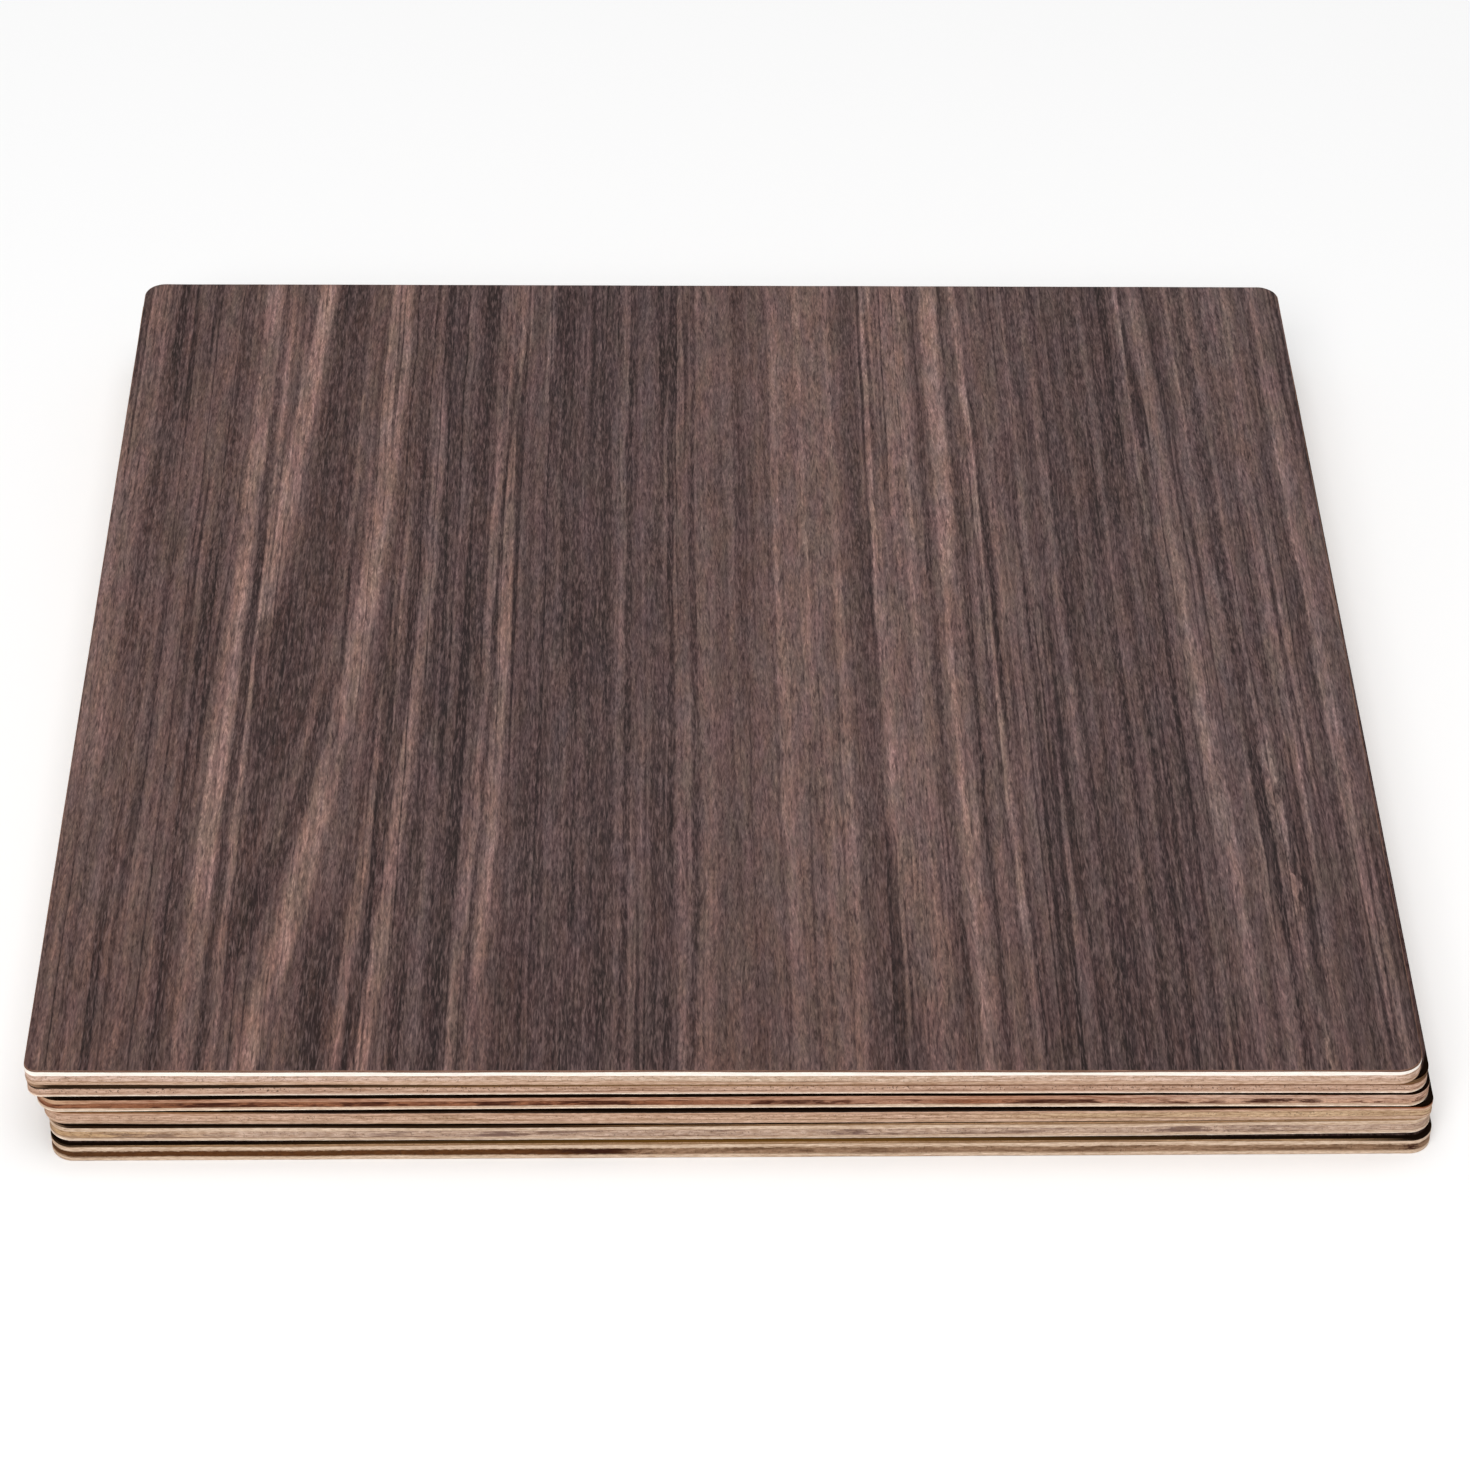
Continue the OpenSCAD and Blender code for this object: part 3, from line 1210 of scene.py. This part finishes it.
@dataclass
class Sheet:
    """One plywood sheet: a back ply, a core, a face ply and a walnut veneer.

    Rings of a layer's edge lie where its eased rims begin and at the knees of their curves.
    Where a rim isn't eased, a plain step of the thickness stands for its ease.
    """

    number: int
    edges: dict[Layer, EdgeFinish]
    # painted shade: whether the veneer's rim is darkened where it lies in the gap under the sheet
    # above
    rim_shaded: bool = True
    steps: RimSteps = field(default_factory=RimSteps)
    glue_stray: float = 0.07 * MM
    # how far in from the rim, and round the corners, the painted shade reaches
    shade_reach: float = 2 * MM
    shade_round: float = 9 * MM
    plain_step: float = 0.2
    knee: float = 0.3
    rough_blur: float = 1.2
    seed_steps: Pair = (3.7, 0.9)
    trims: dict[Layer, Trim] = field(default_factory=lambda: {
        Layer.BACK: Trim(ease_low=0.12 * MM),
        Layer.CORE: Trim(set_back=0.03 * MM, rough=0.03 * MM),
        Layer.FACE: Trim(),
        Layer.VENEER: Trim(set_back=0.02 * MM, ease_high=0.12 * MM),
    })

    def node(self, layer: Layer) -> str:
        """The name of a layer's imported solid."""
        return f"sheet_{self.number}_{layer.value}"

    def build(
        self, effects: Effects, walnut: bpy.types.Material, back: bpy.types.Material
    ) -> list[bpy.types.Object]:
        """Build and dress the sheet's four layers.

        Args:
            effects: the shared node groups.
            walnut: the finish of the veneer.
            back: the finish of the underside.

        Returns:
            The pieces, from the underside up.
        """
        plan = Plan.of(corners_of(self.node(Layer.CORE)))
        cells = math.prod(self.steps.counts)
        planed = {Layer.BACK: (back, 0), Layer.VENEER: (walnut, cells)}
        pieces = []
        for order, layer in enumerate(Layer):
            piece = self.surface(plan, layer, order)
            seed = self.seed_steps[0] * self.number + self.seed_steps[1] * order
            edge = self.edges[layer].make(f"{self.node(layer)}_edge", effects, seed)
            piece.data.materials.append(edge)
            if layer in planed:
                finish, first = planed[layer]
                piece.data.materials.append(finish)
                chosen = np.zeros(len(piece.data.polygons), dtype=np.int32)
                chosen[first : first + cells] = 1
                piece.data.polygons.foreach_set("material_index", chosen)
            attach(piece, "root")
            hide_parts(self.node(layer))
            pieces.append(piece)
            LOG.info("%s: %d faces", piece.name, len(piece.data.polygons))
        return pieces

    def surface(self, plan: Plan, layer: Layer, order: int) -> bpy.types.Object:
        """Work out a layer as a closed surface.

        The two parameters are the way round the rim and the rise from the lower face to
        the upper. The lowest and highest of the edge's rings are filled by panels. Heights
        run from one glue line to the next, and each line strays alike in the layers on both
        sides.

        Args:
            plan: the sheet's outline.
            layer: which layer.
            order: its place from the underside up.

        Returns:
            The piece.
        """
        lay = Lay.of(corners_of(self.node(layer)))
        counts = self.steps.counts
        points, normal = rim(plan, self.steps)
        rises, draws = self.edge_steps(self.trims[layer], lay.thickness, len(points), order)
        rings = points[None] - draws[..., None] * normal[None]
        lower, upper = (panel(ring, counts).reshape(-1, 2) for ring in (rings[0], rings[-1]))
        own = np.vstack([lower, upper, rings[1:-1].reshape(-1, 2)])
        rise = np.concatenate([
            np.zeros(len(lower)), np.ones(len(upper)), np.repeat(rises[1:-1], len(points))])
        flat = plan.place(own)
        below, above = (self.stray(flat, line) for line in (order, order + 1))
        height = lay.level(flat[:, 0], rise) + (1 - rise) * below + rise * above
        edge, cells = border(counts), cells_of(grid_numbers(counts))
        walls = np.arange(2 * len(lower), len(own)).reshape(-1, len(points))
        numbers = np.vstack([edge, walls, edge + len(lower)])
        end_grain = np.zeros(len(own))
        end_grain[numbers] = np.abs(normal[:, 1] if layer.grain_along_y else normal[:, 0])
        marks = {"rise": rise, "end_grain": end_grain}
        # painted shade on the veneer's rim, in the gap under the sheet above
        if layer is Layer.VENEER:
            marks["gap_shade"] = self.gap_shade(plan, own)
        planes = (cells[:, ::-1], cells + len(lower))
        bands = [quads(a, b) for a, b in zip(numbers, numbers[1:])]
        shares = [share_of(own[plane], plan) for plane in planes]
        chart = BakeSheet.of(layer).lay_out(*shares, points, counts, rises)
        return as_piece(
            f"{self.node(layer)}_dressed", np.column_stack([flat, height]),
            np.vstack([*planes, *bands]), marks, chart)

    def edge_steps(
        self, trim: Trim, thickness: float, count: int, order: int
    ) -> tuple[np.ndarray, np.ndarray]:
        """Step a layer's edge from its lower rim to its upper one.

        Each ring is drawn in by the edge's set-back, by what its eased rims take off at
        that rise, and by the size of a noise round the sheet.

        Args:
            trim: how the edge is worked.
            thickness: the layer's thickness.
            count: points round the rim.
            order: the layer's place from the underside up.

        Returns:
            The rises of the rings, and how far each of their points is drawn in.
        """
        eases = np.array([trim.ease_low, trim.ease_high])
        low, high = np.where(eases > 0, eases / thickness, self.plain_step)
        middle = 0.5 * (1 + low - high)
        rises = np.array([0.0, self.knee * low, low, middle, 1 - high, 1 - self.knee * high, 1.0])
        eased = np.concatenate([eases[0] * np.array([1, self.knee]), np.zeros(3),
                                eases[1] * np.array([self.knee, 1])])
        noise = smooth_noise(len(rises), count, self.rough_blur, 100 * self.number + order)
        return rises, trim.set_back + eased[:, None] + trim.rough * np.abs(noise)

    def stray(self, flat: np.ndarray, line: int) -> np.ndarray:
        """Work out how far a glue line strays, counted from the underside.

        Args:
            flat: places in the frame, one row each.
            line: which line; the sheet's two faces, the first and the last, don't stray.

        Returns:
            The strays.
        """
        if not 0 < line < len(Layer):
            return np.zeros(len(flat))
        return self.glue_stray * glue_line(flat, 10 * self.number + line)

    def gap_shade(self, plan: Plan, own: np.ndarray) -> np.ndarray:
        """Work out where a veneer's rim is painted with shade, in the gap under the sheet above.

        The painted shade falls off evenly in from the rim, and along the sides it is full by the
        front and back and gone a little further on.

        Args:
            plan: the sheet's outline.
            own: points of the sheet's own plan, one row each.

        Returns:
            The shares, from 0 to 1.
        """
        from_end = plan.depth / 2 - np.abs(own[:, 1])
        round_corner = np.clip(2 - 2 * from_end / self.shade_round, 0, 1)
        return self.rim_shaded * round_corner * np.clip(1 - plan.inward(own) / self.shade_reach, 0, 1)


@dataclass
class PlywoodStack:
    """The six sheets, from the floor up, and the colours of each layer's edge: wood, and painted
    shade where an edge lies in a gap or under an overhang.
    """

    pale: EdgeFinish = EdgeFinish(
        plain(218, 194, 174), paint(178, 146, 122), lip=paint(244, 226, 208))
    cream: EdgeFinish = EdgeFinish(plain(220, 198, 178), paint(184, 154, 128))
    white: EdgeFinish = EdgeFinish(
        plain(252, 244, 235), paint(238, 222, 206), 0.4, glue_share=0.0, pore_share=0.1,
        dim=(0.9, 0.88, 0.86), lit=(1.1, 1.1, 1.1))
    straw: EdgeFinish = EdgeFinish(plain(208, 178, 157), paint(164, 130, 102))
    tawny: EdgeFinish = EdgeFinish(
        plain(206, 174, 156), paint(156, 118, 94), 0.6, lip=paint(248, 230, 214), lip_share=0.5)
    blush: EdgeFinish = EdgeFinish(
        strips((-60, 212, 184, 170), (0, 210, 188, 168), (60, 214, 186, 170)),
        paint(182, 150, 126), glue_share=0.1)
    # the crest is painted shade under the overhang of the sheet above: dark at the left, browner to
    # the right
    buff: EdgeFinish = EdgeFinish(
        plain(204, 172, 153), paint(150, 112, 86), 0.6, pore_share=0.7, crest_share=0.26,
        crest=strips((-60, 40, 26, 15), (-40, 112, 82, 50), (0, 160, 126, 92), (30, 118, 80, 52)))
    olive: EdgeFinish = EdgeFinish(
        strips((30, 206, 174, 154), (50, 202, 174, 144)), paint(152, 122, 92), 0.7)
    # the crest is painted shade: near black along the upper rim under the sheet above, browner at
    # both ends
    topped: EdgeFinish = EdgeFinish(
        plain(206, 172, 151), paint(164, 126, 100), crest_share=0.4,
        crest=strips((-80, 150, 110, 76), (-62, 26, 16, 12), (60, 22, 14, 11), (84, 140, 86, 60)))
    ruddy: EdgeFinish = EdgeFinish(
        strips((-97, 196, 160, 132), (-90, 188, 146, 122), (24, 190, 150, 128),
               (40, 184, 138, 114), (70, 206, 174, 156)),
        paint(134, 84, 62), 0.8, 4 * MM)
    russet: EdgeFinish = EdgeFinish(
        strips((-10, 146, 97, 71), (24, 176, 134, 112), (34, 150, 98, 72), (72, 202, 164, 142)),
        paint(84, 44, 29), 0.9, 3 * MM, 1.8,
        stains=((-74, 5), (-52, 4), (-34, 4), (-19, 4), (9, 4.5), (46, 7), (77, 4), (83, 2.5),
                (98.8, 0.6)))
    ash: EdgeFinish = EdgeFinish(
        strips((-92, 196, 164, 128), (-70, 196, 171, 154)), paint(118, 94, 83), 0.75, 5 * MM, 2.2,
        stains=((-33, 3), (18, 3), (66, 4)), stain=paint(116, 92, 84))
    umber: EdgeFinish = EdgeFinish(
        strips((-17, 92, 57, 30), (-13, 150, 121, 98)), paint(80, 52, 30), 0.6, 7 * MM, 1.6,
        lip=paint(212, 190, 166), lip_share=0.08, crest=plain(206, 182, 158), crest_share=0.1,
        stains=((-19, 6), (98.8, 0.7)), stain=paint(52, 24, 14))
    # painted shade: the face ply under the top sheet's overhang, near black at the left and shaded
    # brown further right
    shaded_face: EdgeFinish = EdgeFinish(
        strips((-100.4, 184, 150, 124), (-98, 44, 27, 11), (-60, 44, 27, 11), (-36, 118, 88, 60)),
        paint(70, 48, 32), 0.6, glue_share=0.0)
    # painted shade: a veneer edge near black where it lies in the gap under the sheet above; only
    # its left tip keeps the wood's brown
    shaded_end: EdgeFinish = EdgeFinish(
        strips((-100.4, 168, 134, 108), (-98.6, 20, 10, 4)), paint(12, 6, 2), 0.8,
        glue_share=0.0, sheen=0.0)
    # painted shade: the veneer edge dark over its left half in the gap under the sheet above, the
    # veneer's brown and tan further right
    brown_end: EdgeFinish = EdgeFinish(
        strips((-99, 190, 158, 132), (-96, 36, 22, 12), (-26, 50, 33, 20), (-12, 104, 76, 50),
               (30, 170, 138, 106)),
        paint(50, 33, 20), 0.5, glue_share=0.0, sheen=0.0)
    # painted shade: the lowest veneer's edge near black at both ends, where the gap above it opens
    fading_end: EdgeFinish = EdgeFinish(
        strips((-98, 13, 9, 8), (-84, 160, 130, 100), (84, 168, 138, 108), (98, 13, 9, 8)),
        paint(112, 84, 58), 0.5, glue_share=0.0, sheen=0.0)
    walnut_rim: EdgeFinish = EdgeFinish(
        plain(132, 102, 88), paint(104, 78, 66), 0.8, glue_share=0.0)
    # painted shade over the lowest sheet's walnut rim in the gap: near black at the ends, the
    # walnut's shaded brown between
    lowest_shade: Stops = strips(
        (-70, 18, 9, 4), (-45, 62, 42, 20), (-10, 96, 66, 26), (25, 98, 68, 28), (48, 66, 44, 20),
        (72, 18, 9, 4))
    covered_sheen: float = 0.02
    walnut_seed: float = 4.3
    back_seed: float = 8.1

    def sheets(self) -> list[Sheet]:
        """Choose the edge colours of each sheet's layers, from its underside up, painted shade
        among them.

        Returns:
            The sheets, from the floor up.
        """
        edge_finishes = [
            (self.cream, self.umber, self.cream, self.fading_end),
            (self.pale, self.ash, self.cream, self.brown_end),
            (self.straw, self.olive, self.topped, self.shaded_end),
            (self.pale, self.russet, self.ruddy, self.shaded_end),
            (self.tawny, self.buff, self.shaded_face, self.shaded_end),
            (self.straw, self.blush, self.white, self.walnut_rim),
        ]
        return [
            Sheet(number, dict(zip(Layer, wood)), rim_shaded=number < len(edge_finishes))
            for number, wood in enumerate(edge_finishes, start=1)
        ]

    def build(self) -> list[bpy.types.Object]:
        """Build all sheets.

        Returns:
            Their pieces.
        """
        effects, sheets = Effects(), self.sheets()
        top = Plan.of(corners_of(sheets[-1].node(Layer.CORE)))
        # the covered walnut carries painted shade on its rim; the lowest has its own shade colours
        finishes = {
            "planed_walnut": WalnutFinish(),
            "covered_walnut": WalnutFinish(sheen=self.covered_sheen),
            "lowest_walnut": WalnutFinish(sheen=self.covered_sheen, shade_colour=self.lowest_shade),
        }
        shown, covered, lowest = (
            finish.make(name, effects, self.walnut_seed, top) for name, finish in finishes.items())
        back = BackFinish().make("planed_pale_back", effects, self.back_seed)
        pieces = []
        for sheet, walnut in zip(sheets, [lowest] + [covered] * (len(sheets) - 2) + [shown]):
            pieces += sheet.build(effects, walnut, back)
        return pieces


# The studio


def stand(
    data: bpy.types.ID, place: tuple[float, float, float], axes: list[np.ndarray]
) -> bpy.types.Object:
    """Stand a light or a camera at a place.

    Args:
        data: the light or the camera.
        place: where it stands.
        axes: the ways that its own X, Y and Z point.

    Returns:
        The object.
    """
    item = bpy.data.objects.new(data.name, data)
    turn = Matrix(np.column_stack(axes).tolist()).to_4x4()
    item.matrix_world = Matrix.Translation(place) @ turn
    bpy.context.scene.collection.objects.link(item)
    return item


@dataclass(frozen=True)
class SoftBox:
    """A soft square light: where it hangs, its width and its power."""

    name: str
    place: tuple[float, float, float]
    width: float
    power: float

    def hang(self) -> None:
        """Hang the light, facing the stack."""
        light = bpy.data.lights.new(self.name, "AREA")
        light.shape, light.size, light.energy = "SQUARE", self.width, self.power
        away = np.array(self.place) / np.linalg.norm(self.place)
        side = np.cross([0.0, 1.0, 0.0], away)
        side /= np.linalg.norm(side)
        stand(light, self.place, [side, np.cross(away, side), away])


@dataclass(frozen=True)
class Studio:
    """A pale floor, soft light and the camera."""

    eye: tuple[float, float, float] = (-11.75 * MM, -557.7 * MM, 458.0 * MM)
    pitch: float = 39.6
    turn: float = 1.391
    roll: float = -0.918
    lens: float = 108.84
    sensor: float = 36.0
    nearest: float = 0.01
    floor_half: float = 4.0
    floor_cells: int = 4
    floor_drop: float = 0.02 * MM
    floor_tone: float = 0.9
    floor_rough: float = 0.9
    floor_sheen: float = 0.1
    boxes: tuple[SoftBox, ...] = (
        SoftBox("overhead_box", (0.0, -0.3, 2.0), 1.6, 22.0),
        SoftBox("front_box", (-0.5, -1.8, 1.7), 1.4, 32.0),
    )
    sky: float = 0.38

    def build(self) -> None:
        """Lay the floor, hang the lights and set the camera."""
        self._floor()
        for box in self.boxes:
            box.hang()
        world = bpy.data.worlds.new("studio_sky")
        world.use_nodes = True
        sky = world.node_tree.nodes["Background"].inputs
        sky["Color"].default_value = (1.0, 1.0, 1.0, 1.0)
        sky["Strength"].default_value = self.sky
        bpy.context.scene.world = world
        bpy.context.scene.view_settings.view_transform = "Standard"
        self._camera()

    def _floor(self) -> None:
        """Lay a flat square of floor just under the stack."""
        span = np.linspace(-self.floor_half, self.floor_half, self.floor_cells + 1)
        x, y = np.meshgrid(span, span)
        points = np.column_stack([x.ravel(), y.ravel(), np.full(x.size, -self.floor_drop)])
        cells = cells_of(grid_numbers((self.floor_cells, self.floor_cells)))
        floor = as_piece("studio_floor", points, cells)
        paintwork = Surface("floor_paint")
        paintwork.join({
            "Base Color": (self.floor_tone, self.floor_tone, self.floor_tone, 1.0),
            "Roughness": self.floor_rough, "Specular IOR Level": self.floor_sheen})
        floor.data.materials.append(paintwork.material)

    def _camera(self) -> None:
        """Stand the camera at the eye, pitched down, turned and rolled."""
        p, t, r = (math.radians(angle) for angle in (self.pitch, self.turn, self.roll))
        ahead = np.array([math.sin(t) * math.cos(p), math.cos(t) * math.cos(p), -math.sin(p)])
        right = np.array([math.cos(t), -math.sin(t), 0.0])
        down = np.cross(ahead, right)
        across = right * math.cos(r) + down * math.sin(r)
        fall = down * math.cos(r) - right * math.sin(r)
        camera = bpy.data.cameras.new("photo_camera")
        camera.sensor_width, camera.lens, camera.clip_start = self.sensor, self.lens, self.nearest
        bpy.context.scene.camera = stand(camera, self.eye, [across, -fall, -ahead])


def main() -> None:
    """Build the stack and the studio, and log how many pieces there are."""
    logging.basicConfig(level=logging.INFO, format="%(name)s: %(message)s")
    pieces = PlywoodStack().build()
    LOG.info("%d pieces", len(pieces))
    Studio().build()
    bpy.context.view_layer.update()


if __name__ == "__main__":
    main()
